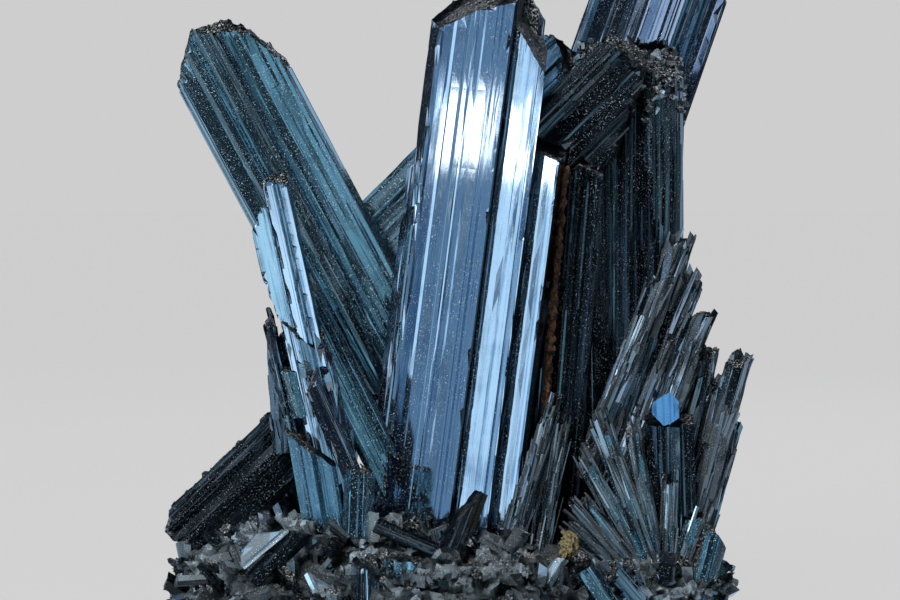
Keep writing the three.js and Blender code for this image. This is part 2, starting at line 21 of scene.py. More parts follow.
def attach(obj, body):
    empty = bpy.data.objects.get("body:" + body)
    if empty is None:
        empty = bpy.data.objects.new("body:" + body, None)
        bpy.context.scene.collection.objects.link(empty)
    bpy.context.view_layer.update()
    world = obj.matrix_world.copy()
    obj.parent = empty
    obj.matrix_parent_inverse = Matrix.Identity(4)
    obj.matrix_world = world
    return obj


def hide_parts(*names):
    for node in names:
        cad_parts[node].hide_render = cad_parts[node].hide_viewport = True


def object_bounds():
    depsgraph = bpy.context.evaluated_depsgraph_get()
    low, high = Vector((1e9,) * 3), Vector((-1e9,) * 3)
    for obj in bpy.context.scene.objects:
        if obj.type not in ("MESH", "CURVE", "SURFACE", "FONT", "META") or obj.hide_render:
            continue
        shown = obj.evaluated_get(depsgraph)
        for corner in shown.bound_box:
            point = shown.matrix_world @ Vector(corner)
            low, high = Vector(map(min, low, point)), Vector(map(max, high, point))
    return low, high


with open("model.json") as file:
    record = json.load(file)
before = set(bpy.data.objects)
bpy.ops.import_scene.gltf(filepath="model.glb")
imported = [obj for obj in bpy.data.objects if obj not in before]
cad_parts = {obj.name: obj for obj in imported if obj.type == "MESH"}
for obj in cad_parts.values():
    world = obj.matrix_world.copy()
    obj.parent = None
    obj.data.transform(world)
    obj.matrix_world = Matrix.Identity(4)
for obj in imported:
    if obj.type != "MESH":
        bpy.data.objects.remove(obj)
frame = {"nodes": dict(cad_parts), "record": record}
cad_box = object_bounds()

MM = 0.001
NOISE_SEED = 7            # vector noise starts from the clock unless it is seeded
noise.seed_set(NOISE_SEED)
low_corner = Vector(cad_box[0])
high_corner = Vector(cad_box[1])
spray_size = high_corner - low_corner
print("the frame is", [round(side / MM, 1) for side in spray_size], "mm")

# %% [markdown]
# ## The camera
# A long lens from a step away keeps the prisms straight, as in a specimen portrait. It looks at the
# middle of the spray, from a little above, and is close enough for the frame to crop the tallest tip.
# Its aim is worked out from the spray's own box.

# %% Camera
CAMERA_DISTANCE = 0.7
CAMERA_LENS = 112
CAMERA_DROP = math.radians(2.0)


def in_box(right, back, up):
    """A point given as shares of the spray's box, from its lower left front corner."""
    share = Vector((right, back, up))
    return low_corner + Vector(side * part for side, part in zip(spray_size, share))


aim = in_box(0.4933, 0.39, 0.4725)
camera = bpy.data.objects.new("camera", bpy.data.cameras.new("camera"))
camera.data.lens = CAMERA_LENS
camera.data.clip_start = 0.01
bpy.context.scene.collection.objects.link(camera)
direction = Vector((0, -math.cos(CAMERA_DROP), math.sin(CAMERA_DROP)))
camera.location = aim + direction * CAMERA_DISTANCE
camera.rotation_euler = (-direction).to_track_quat("-Z", "Y").to_euler()
bpy.context.scene.camera = camera
print("the camera looks at", [round(side / MM, 1) for side in aim], "mm")

# %% [markdown]
# ## Shader maths
# A node tree is easier to read as a sum than as a web. `Link` wraps one output socket, and the usual
# operators add Math nodes behind it. Colours go through Mix nodes, because Math makes them grey.


# %% The socket wrapper
class Link:
    """An output socket of a node tree. Sums on it add the nodes that work them out."""

    def __init__(self, tree, socket=None):
        self.tree = tree
        self.socket = socket

    def node(self, kind, inputs=None, output=0, **settings):
        """Adds one node: its settings first, then its sockets' values or links."""
        made = self.tree.nodes.new(kind)
        for name, value in settings.items():
            setattr(made, name, value)
        for name, value in (inputs or {}).items():
            if isinstance(value, Link):
                self.tree.links.new(value.socket, made.inputs[name])
            else:
                made.inputs[name].default_value = value
        return Link(self.tree, made.outputs[output])

    def math(self, operation, *values):
        return self.node("ShaderNodeMath", dict(enumerate(values)), operation=operation)

    def __add__(self, other):
        return self.math("ADD", self, other)

    def __sub__(self, other):
        return self.math("SUBTRACT", self, other)

    def __rsub__(self, other):
        return self.math("SUBTRACT", other, self)

    def __mul__(self, other):
        return self.math("MULTIPLY", self, other)

    __radd__ = __add__
    __rmul__ = __mul__

    def ramp(self, low, high):
        """Rises smoothly from 0 to 1 as this value goes from low to high."""
        inputs = {"Value": self, "From Min": low, "From Max": high}
        return self.node("ShaderNodeMapRange", inputs, interpolation_type="SMOOTHSTEP")

    def stretched(self, scale, shift=(0, 0, 0)):
        """This vector, scaled and then moved."""
        inputs = {0: self, 1: scale, 2: shift}
        return self.node("ShaderNodeVectorMath", inputs, operation="MULTIPLY_ADD")

    def in_millimetres(self):
        """The place on the object, in millimetres."""
        return self.node("ShaderNodeTexCoord", output="Object").stretched((1000, 1000, 1000))

    def clouds(self, scale, detail=3.0, roughness=0.6, distortion=0.0):
        """Soft noise at this place, about 0.5 in the mean."""
        inputs = {"Vector": self, "Scale": scale, "Detail": detail, "Roughness": roughness,
                  "Distortion": distortion}
        return self.node("ShaderNodeTexNoise", inputs)

    def between(self, first, second):
        """The first colour where this mask is 0, and the second where it is 1."""
        inputs = {0: self, 6: first, 7: second}
        return self.node("ShaderNodeMix", inputs, output=2, data_type="RGBA")


def new_finish(name):
    """An empty material: the material, its tree's wrapper, and its shader node."""
    finish = bpy.data.materials.new(name)
    finish.use_nodes = True
    tree = finish.node_tree
    tree.nodes.clear()
    shader = tree.nodes.new("ShaderNodeBsdfPrincipled")
    output = tree.nodes.new("ShaderNodeOutputMaterial")
    tree.links.new(shader.outputs["BSDF"], output.inputs["Surface"])
    return finish, Link(tree), shader


def feed(maker, shader, **links):
    """Joins worked-out values to the shader's sockets, named with _ for each space."""
    for name, link in links.items():
        maker.tree.links.new(link.socket, shader.inputs[name.replace("_", " ")])


def colour(red, green, blue):
    return (red, green, blue, 1.0)


print("a link can:", ", ".join(name for name in vars(Link) if not name.startswith("_")))

# %% [markdown]
# ## The stibnite finish
# Fresh stibnite is a blue-grey metal mirror. Air dulls it in long streaks, which follow the grain,
# and dust and etching leave small dull specks. The streaks need to know where the grain runs, so each
# mesh carries that as an attribute: `grain` holds the distance across and along the face in
# millimetres, and a number for the face. `broken` is 1 on a broken end, where the metal is grainy.
# `shade` is a random tone for each strip of a face. One more face number is 1 on the faces of the central
# prism that turn to the right front: their dark film is painted shade, which makes the steps look dark.
# Fine lines too thin to model are a bump, stretched hard along the grain.


# %% Stibnite
# Painted shade: the dark film on the central prism's right-front faces, for the shade of its steps.
PAINTED_STEP_SHADE = (0.02, 0.03, 0.045)
DUST = (0.26, 0.32, 0.35)
DULL_GRIT = (0.035, 0.042, 0.046)
GLITTERING_GRIT = (0.4, 0.42, 0.43)


def mesh_value(maker, name):
    """A number that the mesh carries, such as how broken it is here."""
    return maker.node("ShaderNodeAttribute", output="Fac", attribute_name=name)


def stibnite(name, clean, tarnish, dullness, streaks=0.5, dusting=0.4, metal_share=1.0, depth=4e-6):
    """Striated metal: its clean and tarnished colours, its dullness, and how streaky and dusty it is."""
    finish, maker, shader = new_finish(name)
    grain = maker.node("ShaderNodeAttribute", output="Vector", attribute_name="grain")
    broken = mesh_value(maker, "broken")
    shade = mesh_value(maker, "shade")
    stain = mesh_value(maker, "stain")
    place = maker.in_millimetres()

    wide = grain.stretched((0.9, 0.025, 7.0)).clouds(1.0, detail=2.0)
    fine = grain.stretched((5.5, 0.05, 3.0)).clouds(1.0, detail=4.0, roughness=0.75)
    lines = grain.stretched((16.0, 0.09, 5.0)).clouds(1.0, detail=3.0, roughness=0.8)
    patches = place.clouds(0.075, detail=5.0, roughness=0.62)
    specks = place.clouds(2.6, detail=4.0, roughness=0.7)
    grit = place.clouds(1.9, detail=6.0, roughness=0.8)

    streak = (wide + fine * 1.2 + lines * 0.8 - 1.5) * streaks + shade * 0.35
    aged = (streak + patches - 0.12).ramp(0.3, 0.75)
    dust = specks.ramp(0.58, 0.66) * (patches.ramp(0.38, 0.6) * 0.7 + 0.3)
    fresh = aged.between(colour(*clean), colour(*tarnish))
    # Painted shade: the marked faces are darkened towards the dark film.
    metal = (stain * 0.9).between(fresh, colour(*PAINTED_STEP_SHADE))
    dusty = (dust * dusting).between(metal, colour(*DUST))
    glitter = grit.ramp(0.49, 0.64) * patches.ramp(0.38, 0.56)
    rough_metal = glitter.between(colour(*DULL_GRIT), colour(*GLITTERING_GRIT))
    skin = broken.between(dusty, rough_metal)

    smooth = dullness + aged * 0.08 + dust * 0.3
    coarse = grit * 0.3 + 0.16
    scratches = lines * 0.4 + fine * 0.9 + specks * dusting * 0.8
    hackly = (grit * 3.0 + specks * 1.0) * (6e-5 / depth)
    height = scratches * (1 - broken) + hackly * broken
    bump = maker.node("ShaderNodeBump", {"Strength": 0.6, "Distance": depth, "Height": height})
    dull_share = dust * dusting * (1 - broken) + glitter * broken * 0.85
    feed(maker, shader, Base_Color=skin, Normal=bump,
         Roughness=smooth * (1 - broken) + coarse * broken,
         Metallic=(1 - dull_share) * metal_share)
    return finish


FINISHES = {
    "bright": stibnite("bright_stibnite", (0.64, 0.73, 0.82), (0.24, 0.34, 0.46), 0.05, streaks=0.8,
                       dusting=0.3, depth=6e-6),
    "teal": stibnite("teal_stibnite", (0.44, 0.66, 0.76), (0.19, 0.32, 0.38), 0.16, streaks=0.8,
                     dusting=0.75, depth=1.2e-5),
    # Partly tarnish, partly painted shade: kept dark so that the crystals on the right look shaded.
    "dark": stibnite("dark_stibnite_and_painted_shade", (0.23, 0.27, 0.3), (0.04, 0.047, 0.05), 0.14, streaks=0.9,
                     dusting=0.5, depth=1.4e-5),
    "grey": stibnite("crushed_stibnite", (0.44, 0.52, 0.57), (0.08, 0.096, 0.106), 0.16, streaks=1.0,
                     dusting=0.7, metal_share=0.86, depth=2e-5),
    "needle": stibnite("needle_stibnite", (0.4, 0.48, 0.53), (0.03, 0.038, 0.043), 0.13, streaks=1.1,
                       dusting=0.4, metal_share=0.94, depth=1.4e-5),
    "pale": stibnite("etched_stibnite", (0.66, 0.82, 0.92), (0.2, 0.33, 0.42), 0.14, streaks=1.0,
                     dusting=0.3, metal_share=0.88, depth=1.2e-5),
    "blue": stibnite("blue_stibnite", (0.09, 0.28, 0.56), (0.035, 0.11, 0.28), 0.2, dusting=0.3,
                     metal_share=0.6, depth=1.2e-5),
}
print("stibnite finishes:", ", ".join(FINISHES))

# %% [markdown]
# ## The crust and the ochre grain
# The crust is crushed stibnite grown together with grey rock: small mirror-like cleavage planes that
# glitter among dull grey grains, with rust here and there. A Voronoi pattern gives each grain its own
# tone and its own gloss. The mesh's `proud` attribute says how far each point stands out; the hollows
# between grains get painted shade from it. The ochre and the rust are dull, with no metal in them.


# %% Crust and ochre
def crust_finish():
    """Crushed stibnite in grey rock: bright cleavage grains, dull grains, flecks and a little rust."""
    finish, maker, shader = new_finish("crust_rubble")
    place = maker.in_millimetres()
    cells = maker.node("ShaderNodeTexVoronoi", {"Vector": place, "Scale": 0.55}, output="Color")
    tone = maker.node("ShaderNodeSeparateColor", {"Color": cells}, output=0)
    gloss = maker.node("ShaderNodeSeparateColor", {"Color": cells}, output=1)
    proud = mesh_value(maker, "proud")
    # Painted shade: the hollows between the grains are darkened, the more the lower they lie.
    hollow_shade = 1 - proud.ramp(-0.22, 0.12)
    patches = place.clouds(0.07, detail=4.0)
    grit = place.clouds(1.8, detail=6.0, roughness=0.8)
    rust = (place.clouds(0.13, detail=5.0, roughness=0.7) + patches - 0.5).ramp(0.66, 0.76)
    rock = (patches + (tone - 0.5) * 0.25).ramp(0.5, 0.6)
    glitter = grit.ramp(0.53, 0.64)
    flecks = place.clouds(3.6, detail=4.0, roughness=0.75).ramp(0.53, 0.62)
    metal = tone.between(colour(0.1, 0.125, 0.145), colour(0.56, 0.68, 0.74))
    stone = glitter.between(colour(0.1, 0.12, 0.13), colour(0.56, 0.64, 0.67))
    plain = rock.between(metal, stone)
    flecked = (flecks * 0.85).between(plain, colour(0.5, 0.6, 0.64))
    shaded = (hollow_shade * 0.65).between(flecked, colour(0.012, 0.014, 0.016))
    skin = (rust * 0.4).between(shaded, colour(0.1, 0.05, 0.028))
    height = grit + tone * 0.6 + flecks * 0.3
    bump = maker.node("ShaderNodeBump", {"Strength": 0.8, "Distance": 0.00035, "Height": height})
    feed(maker, shader, Base_Color=skin, Normal=bump,
         Roughness=gloss * 0.3 + rock * 0.25 + 0.14,
         Metallic=(0.72 - rock * glitter * 0.4 - flecks * 0.3) * (1 - rust * 0.8))
    return finish


def ochre_finish(name, dark, light):
    """A dull earthy crust between two colours."""
    finish, maker, shader = new_finish(name)
    place = maker.in_millimetres()
    grit = place.clouds(1.4, detail=6.0, roughness=0.75)
    skin = grit.ramp(0.3, 0.7).between(colour(*dark), colour(*light))
    bump = maker.node("ShaderNodeBump", {"Strength": 0.8, "Distance": 0.0004, "Height": grit})
    feed(maker, shader, Base_Color=skin, Normal=bump, Roughness=grit * 0.4 + 0.5)
    return finish


FINISHES["crust"] = crust_finish()
FINISHES["ochre"] = ochre_finish("ochre_crust", (0.03, 0.025, 0.015), (0.17, 0.145, 0.07))
FINISHES["rust"] = ochre_finish("rust_crust", (0.015, 0.012, 0.01), (0.11, 0.055, 0.028))
print("finishes:", ", ".join(FINISHES))

# %% [markdown]
# ## Reading a crystal
# A solid arrives as triangles. Joining those that lie in one plane gives back the crystal's flat
# faces. The longest edge of each side face runs along the crystal's grain, so the grain is read from
# the solid itself. In a fan, each blade has a grain of its own.

# %% Flat faces and their grain
SNAP = 1e-4               # millimetres: two points nearer than this are one
FLAT_WITHIN = 0.4         # degrees: faces that meet at less than this are one face
SHORTEST_GRAIN_EDGE = 2.5   # millimetres: shorter edges say nothing about the grain
SAME_GRAIN = 0.9995       # the cosine above which two edges show one grain
ALONG_GRAIN = 0.999       # the cosine above which a face's longest edge follows a grain
SLOTS = {entry["node"]: entry["material_slot"] for entry in frame["record"]["subparts"]}


def flat_solid(node):
    """A node's solid in millimetres, with whole flat faces."""
    shape = bmesh.new()
    shape.from_mesh(frame["nodes"][node].data)
    shape.transform(Matrix.Scale(1 / MM, 4))
    bmesh.ops.remove_doubles(shape, verts=shape.verts, dist=SNAP * 5)
    bmesh.ops.dissolve_limit(shape, angle_limit=math.radians(FLAT_WITHIN), verts=shape.verts,
                             edges=shape.edges, delimit=set())
    shape.normal_update()
    return shape


def grain_lines(shape, share=0.3):
    """The directions that the crystals of one solid grew in."""
    found = []
    for edge in shape.edges:
        line = edge.verts[1].co - edge.verts[0].co
        length = line.length
        if length < SHORTEST_GRAIN_EDGE:
            continue
        line = line.normalized() * (1 if line.z >= 0 else -1)
        for entry in found:
            if entry[0].dot(line) > SAME_GRAIN:
                entry[1] += length
                break
        else:
            found.append([line, length])
    strongest = max(total for _, total in found)
    return [line for line, total in found if total > share * strongest]


def grain_of(face, lines):
    """The grain of a side face, or None on an end."""
    edge = max(face.edges, key=lambda one: one.calc_length())
    line = (edge.verts[1].co - edge.verts[0].co).normalized()
    line = line if line.z >= 0 else -line
    if any(abs(other.dot(line)) > ALONG_GRAIN for other in lines):
        return line
    return None


example = flat_solid("central_crystal")
print("central_crystal:", len(example.faces), "flat faces,", len(grain_lines(example)), "grain directions")
example.free()

# %% [markdown]
# ## Cutting the striations
# Each side face is cut along its grain into narrow strips, and across it at stations a few
# millimetres apart. Then the cut lines are pushed in by different depths. What was one flat face is
# now a bundle of narrow facets with slightly different tilts, as on the real prism. Bump alone could
# shade such lines, but it couldn't make them mirror different things or notch the crystal's outline.

# %% Strips and depths
def score(shape, faces, line, places):
    """Cuts flat faces in strips, at each place along a line. Returns the strips."""
    rest = list(faces)
    done = []
    for place in places:
        touched = {vert for face in rest for vert in face.verts}
        edges = {edge for face in rest for edge in face.edges}
        cut = bmesh.ops.bisect_plane(shape, geom=[*rest, *edges, *touched], dist=SNAP,
                                     plane_co=line * place, plane_no=line)
        strips = [item for item in cut["geom"] if isinstance(item, bmesh.types.BMFace)]
        rest = []
        for strip in strips:
            behind = max(vert.co.dot(line) for vert in strip.verts) <= place + 10 * SNAP
            (done if behind else rest).append(strip)
        if not rest:
            break
    return done + rest


def reach(faces, line):
    """The lowest and highest place of some faces along a line."""
    values = [vert.co.dot(line) for face in faces for vert in face.verts]
    return min(values), max(values)


def ridge_profile(low, high, rng, ridge, relief, steepness=0.07, steps=0.3):
    """Places across a face and their depths: broad nearly flat facets between narrow grooves."""
    places = [low]
    depths = [0.0]
    width = high - low
    while places[-1] < high - ridge * 0.4:
        step = ridge * rng.choice((0.35, 0.5, 0.8, 1.2, 2.2)) * rng.uniform(0.7, 1.3)
        last = depths[-1]
        if rng.random() < steps:
            depth = min(relief, max(0.0, last + rng.choice((-1, 1)) * relief * rng.uniform(0.3, 0.9)))
            step *= 0.45
        else:
            depth = min(relief, max(0.0, last + step * rng.uniform(-steepness, steepness)))
        places.append(places[-1] + step)
        depths.append(depth)
    places[-1] = high
    depths[-1] = 0.0
    if width < ridge:
        return [low, high], [0.0, 0.0]
    return places, depths


facets = len(ridge_profile(0, 20, random.Random("a sample"), 0.9, 0.15)[0]) - 1
print("a face 20 mm wide gets about", facets, "facets")

# %% [markdown]
# ## One striated side
# A side face remembers its own ridges, so that any point on it can be asked how deep it lies. Ledges
# are added as terraces: over part of the face's width, the surface drops a step from some height on.
# Slow noise along the grain keeps the ridges from being ruler-straight.


# %% A side and its depth
FACE_PER_LEDGE = 260      # square millimetres of face for each ledge
LEDGE_SLOPE = 0.12        # millimetres: half the length over which a ledge drops


class Side:
    """One striated side face: its axes, and the depth of its surface at any place."""

    def __init__(self, face, line, rng, ridge, relief, ledges=1.0, **profile):
        self.normal = face.normal.copy()
        self.line = line
        self.across = self.normal.cross(line).normalized()
        self.seed = rng.uniform(0, 50)
        low, high = reach([face], self.across)
        self.start, self.end = reach([face], line)
        self.places, self.depths = ridge_profile(low, high, rng, ridge, relief, **profile)
        self.relief = relief
        self.terraces = []
        for _ in range(int((self.end - self.start) * (high - low) / FACE_PER_LEDGE * ledges)):
            left = rng.uniform(low, high)
            self.terraces.append((left, left + rng.uniform(0.05, 0.3) * (high - low),
                                  rng.uniform(self.start, self.end), rng.choice((-1, 1)),
                                  relief * rng.uniform(0.25, 0.7)))

    def stations(self, spacing):
        """Where the face is cut across its grain."""
        count = max(1, round((self.end - self.start) / spacing))
        step = (self.end - self.start) / count
        places = [self.start + step * (k + 0.5) for k in range(count)]
        for _, _, ledge, _, _ in self.terraces:
            places += [ledge - LEDGE_SLOPE, ledge + LEDGE_SLOPE]
        return sorted(places)

    def depth(self, point):
        """How far the grown surface lies below the flat face."""
        across = point.dot(self.across)
        along = point.dot(self.line)
        index = min(max(bisect_right(self.places, across), 1), len(self.places) - 1)
        left, right = self.places[index - 1], self.places[index]
        share = (across - left) / max(right - left, SNAP)
        base = self.depths[index - 1] * (1 - share) + self.depths[index] * share
        sway = noise.noise(Vector((across * 1.7 + self.seed, along * 0.06, self.seed)))
        ripple = noise.noise(Vector((across * 6.0, along * 0.2 + self.seed, self.seed)))
        depth = base * (1 + 0.55 * sway) + self.relief * 0.1 * ripple
        for left, right, ledge, way, drop in self.terraces:
            if left < across < right and (along - ledge) * way > 0:
                depth += drop
        return max(0.0, depth)


example = flat_solid("central_crystal")
broadest = max(example.faces, key=lambda face: face.calc_area())
side = Side(broadest, grain_of(broadest, grain_lines(example)), random.Random("a sample"), 0.9, 0.15)
print("the broadest face has", len(side.places) - 1, "facets and", len(side.terraces), "ledges")
example.free()

# %% [markdown]
# ## Broken ends and chipped edges
# Few crystals keep a clean tip. Ends are cut into a fine grid and pushed in by a hackly noise, with
# cells that break off at their own levels. Long edges lose small chips, and now and then a larger
# flake, so the same push is used there with a high threshold.


# %% Breakage
def hackle(point, size):
    """A broken metal surface, from 0 to about 1: flat cells at their own levels, and finer grit."""
    place = point / size
    levels = noise.cell(place + noise.noise_vector(place * 0.7) * 0.6)
    bends = noise.noise(place * 1.3) * 0.5 + 0.5
    grit = noise.noise(place * 3.7) * 0.5 + 0.5
    return 0.45 * levels + 0.35 * bends + 0.2 * grit


def chip(point, amount):
    """How deep an edge is chipped here."""
    small = max(0.0, noise.noise(point * 1.1) - 0.1) * 0.5
    flake = max(0.0, noise.noise(point * 0.21 + Vector((7, 3, 1))) - 0.34) * 4.0
    return amount * (small + flake * (0.6 + 0.4 * noise.cell(point * 0.8)))


def seed_of(node, face):
    """A number that depends only on where a face is, so a new pack grows the same surface."""
    place = face.normal * 3 + face.calc_center_median() * 0.2
    return f"{node} {place.x:.0f} {place.y:.0f} {place.z:.0f}"


heights = [hackle(Vector((k * 0.7, k * 0.3, 1.0)), 2.4) for k in range(200)]
print("a broken end's hackle goes from", round(min(heights), 2), "to", round(max(heights), 2))

# %% [markdown]
# ## Growing one solid
# A solid's faces are first sorted into striated sides and broken faces. The sides are cut in strips
# and the ends in a grid. Only then is every point pushed in, by its side's depth, by a chip where two
# sides meet, and by the hackle on a broken end. Cutting everything first keeps the solid closed.


# %% One grown solid
SMALLEST_SIDE = 0.6       # square millimetres: a smaller face counts as broken
SMALLEST_END = 1.5        # square millimetres: a smaller broken face isn't cut
HACKLE_SIZE = 2.4         # millimetres: the width of a broken end's cells
MOST_CUTS = 60            # across a broken end

def cut_end(shape, face, grid):
    """Cuts a broken end into a fine grid."""
    first = face.normal.orthogonal().normalized()
    strips = [face]
    for line in (first, face.normal.cross(first)):
        low, high = reach(strips, line)
        count = min(MOST_CUTS, max(1, round((high - low) / grid)))
        places = [low + (high - low) * k / count for k in range(1, count)]
        strips = score(shape, strips, line, places)


def push(vert, side_mark, sides, ridge, ends, chips):
    """How a point of the flat solid moves: by ridges, by chips on edges, and by hackle on ends."""
    marks = sorted({face[side_mark] for face in vert.link_faces})
    striated = [sides[mark] for mark in marks if mark]
    point = vert.co.copy()
    if len(striated) == 1:
        move = striated[0].normal * -striated[0].depth(point)
    elif striated:
        away = sum((side.normal for side in striated), Vector()).normalized()
        move = away * -min(chip(point, chips), ridge)
    else:
        move = Vector()
    if marks[0] == 0 and ends:
        rough = [face for face in vert.link_faces if not face[side_mark]]
        away = sum((face.normal for face in rough), Vector()).normalized()
        move += away * -ends * hackle(point, HACKLE_SIZE)
    return move


def grow_solid(node, ridge=0.8, relief=0.25, ends=0.5, chips=0.35, spacing=6.0, grid=0.9,
               stained=False, **profile):
    """A node's solid with striated sides and broken ends, as a closed bmesh in millimetres."""
    shape = flat_solid(node)
    lines = grain_lines(shape)
    side_mark = shape.faces.layers.int.new("side")
    broken = shape.faces.layers.float.new("broken")
    shade = shape.faces.layers.float.new("shade")
    stain = shape.faces.layers.float.new("stain")
    sides = [None]
    end_faces = []
    for face in list(shape.faces):
        line = grain_of(face, lines)
        if line is None or face.calc_area() < SMALLEST_SIDE:
            face[broken] = 1.0
            if face.calc_area() > SMALLEST_END:
                end_faces.append(face)
            continue
        face[side_mark] = len(sides)
        # Faces turned to the right front get a dark film: painted shade for the steps of the prism.
        face[stain] = 1.0 if stained and face.normal.x > 0.3 and face.normal.y < 0 else 0.0
        sides.append(Side(face, line, random.Random(seed_of(node, face)), ridge, relief, **profile))
    whole = {face[side_mark]: face for face in shape.faces if face[side_mark]}
    for mark, face in whole.items():
        side = sides[mark]
        strips = score(shape, [face], side.line, side.stations(spacing))
        score(shape, strips, side.across, side.places[1:-1])
    for face in end_faces:
        cut_end(shape, face, grid)
    moves = [push(vert, side_mark, sides, ridge, ends, chips) for vert in shape.verts]
    for vert, move in zip(shape.verts, moves):
        vert.co += move
    tone_strips(shape, node, side_mark, shade, sides)
    write_grain(shape, side_mark, sides)
    return shape


def tone_strips(shape, node, side_mark, shade, sides):
    """Gives every strip of a side a random tone of its own."""
    for face in shape.faces:
        mark = face[side_mark]
        if mark:
            place = face.calc_center_median().dot(sides[mark].across)
            strip = bisect_right(sides[mark].places, place)
            face[shade] = random.Random(f"{node} {sides[mark].seed:.2f} {strip}").uniform(-1, 1)


def write_grain(shape, side_mark, sides):
    """Stores on every corner how far it lies across and along its face's grain."""
    bmesh.ops.triangulate(shape, faces=shape.faces)
    grain = shape.loops.layers.float_vector.new("grain")
    for face in shape.faces:
        side = sides[face[side_mark]]
        for corner in face.loops:
            point = corner.vert.co
            if side:
                corner[grain] = Vector((point.dot(side.across), point.dot(side.line), side.seed))
            else:
                corner[grain] = point


print("solids to grow or cover:", len(SLOTS))

# %% [markdown]
# ## Standing a piece in the scene
# Every shape here is built in millimetres and becomes an object in metres. The object then rides on
# the packed body, gets the finish of its material slot, and hides the plain node that it stands for.
# Counting the edges that don't have two faces shows at once if a shape has a hole.


# %% A finished piece
def stand(shape, name, slot, replaced=(), finish=None):
    """Makes a finished object of a bmesh in millimetres."""
    shape.transform(Matrix.Scale(MM, 4))
    mesh = bpy.data.meshes.new(name)
    shape.to_mesh(mesh)
    open_edges = sum(1 for edge in shape.edges if len(edge.link_faces) != 2)
    shape.free()
    mesh.materials.append(FINISHES[finish or slot])
    piece = bpy.data.objects.new(name, mesh)
    bpy.context.scene.collection.objects.link(piece)
    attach(piece, "root")
    if replaced:
        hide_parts(*replaced)
    print(f"{name}: {len(mesh.polygons)} triangles, {open_edges} open edges")
    return piece


print("finishes ready:", len(FINISHES))

# %% [markdown]
# ## Growing every crystal
# The broad prisms carry wide mirror-like facets, so their ridges are coarse and shallow. Thin blades
# are ribbed more deeply for their width. Each crystal's own numbers are its ridge width, its relief,
# and how rough its broken ends are, all in millimetres.

# %% Crystals
HABITS = {
    # The central prism gets painted shade on its right-front faces.
    "central_crystal": dict(ridge=0.9, relief=0.15, ends=0.35, chips=0.7, spacing=5.0,
                            steepness=0.05, steps=0.2, ledges=0.3, stained=True),
    "blue_plate": dict(ridge=0.6, relief=0.2, ends=0.4, chips=1.8, spacing=1.5),
    "left_crystal": dict(ridge=0.8, relief=0.3, ends=1.4, chips=0.4, spacing=6.0),
    "back_right_crystal": dict(ridge=0.9, relief=0.32, ends=0.5),
    "right_crystal": dict(ridge=0.7, relief=0.35, ends=1.6, chips=0.5),
    "tilted_crystal": dict(ridge=0.7, relief=0.4, ends=1.4, chips=0.7, spacing=4.0),
    "crossing_crystal": dict(ridge=0.8, relief=0.35, ends=1.2),
    "lower_left_crystal": dict(ridge=0.7, relief=0.35, ends=1.6, chips=0.7),
    "front_left_crystal": dict(ridge=0.45, relief=0.14, ends=0.7, chips=0.5, spacing=3.0, grid=0.7),
}
OWN_FINISH = {"light_plate": "pale", "white_shard": "pale", "blue_plate": "blue"}
FINE_HABIT = dict(ridge=0.5, relief=0.22, ends=0.5, chips=0.3, spacing=3.5, grid=0.7)

for node, slot in SLOTS.items():
    if slot in ("bright", "teal", "dark"):
        grown = grow_solid(node, **HABITS.get(node, FINE_HABIT))
        stand(grown, node + "_grown", slot, [node], OWN_FINISH.get(node))


# %% [markdown]
# ## The crust
# A voxel remesh turns the plain lump into an even skin, fine enough to sculpt. Each Voronoi cell of
# the skin is then tilted and lifted as one grain, at several sizes, which gives angular rubble. The
# lift fades out near the floor, so that the base stays flat.


# %% Crust
FLAT_BASE = 2.5           # millimetres: the height over which the grains fade out


def rubble(node, name, slot, voxel, grains):
    """A rough lump of angular grains. Grains lists their sizes and how far they stand proud, in mm."""
    source = frame["nodes"][node]
    mesh = source.data.copy()
    lump = bpy.data.objects.new(name, mesh)
    bpy.context.scene.collection.objects.link(lump)
    remesh = lump.modifiers.new("even_skin", "REMESH")
    remesh.mode = "VOXEL"
    remesh.voxel_size = voxel * MM
    evaluated = lump.evaluated_get(bpy.context.evaluated_depsgraph_get())
    even = bpy.data.meshes.new_from_object(evaluated)
    bpy.data.objects.remove(lump)
    shape = bmesh.new()
    shape.from_mesh(even)
    shape.transform(Matrix.Scale(1 / MM, 4))
    shape.normal_update()
    floor_level = low_corner.z / MM
    proud = shape.verts.layers.float.new("proud")
    full = sum(height for _, height in grains)
    moves = []
    for vert in shape.verts:
        point = vert.co
        lift = 0.0
        for size, height in grains:
            distances, centres = noise.voronoi(point / size)
            centre = centres[0]
            tilt = noise.noise_vector(centre * 5.1)
            level = noise.cell(centre * 3.3) - 0.45
            lift += height * (level + 0.9 * tilt.dot(point / size - centre))
        above = min(1.0, max(0.0, (point.z - floor_level) / FLAT_BASE))
        # How far the point stands out; the crust's finish paints shade into the low points with it.
        vert[proud] = lift / full
        moves.append(vert.normal * lift * above)
    for vert, move in zip(shape.verts, moves):
        vert.co += move
    bmesh.ops.triangulate(shape, faces=shape.faces)
    bpy.data.meshes.remove(even)
    return stand(shape, name, slot, [node])


rubble("crust", "crust_rubble", "crust", 0.75, ((9.0, 3.0), (3.6, 1.7), (1.7, 0.9)))
rubble("ochre_grain", "ochre_lump", "ochre", 0.35, ((1.6, 0.6), (0.6, 0.25)))

# %% [markdown]
# ## Splinters
# Between the large prisms the real surface is never bare: hundreds of small crystals lie along the
# blades or stick out of the crust. Each splinter is a thin prism with an uneven section, a slanted
# broken top and a foot inside its host. To find its place, a ray is shot at the host from outside, so
# the places don't depend on how the host was triangulated. All the splinters of one host make one mesh.


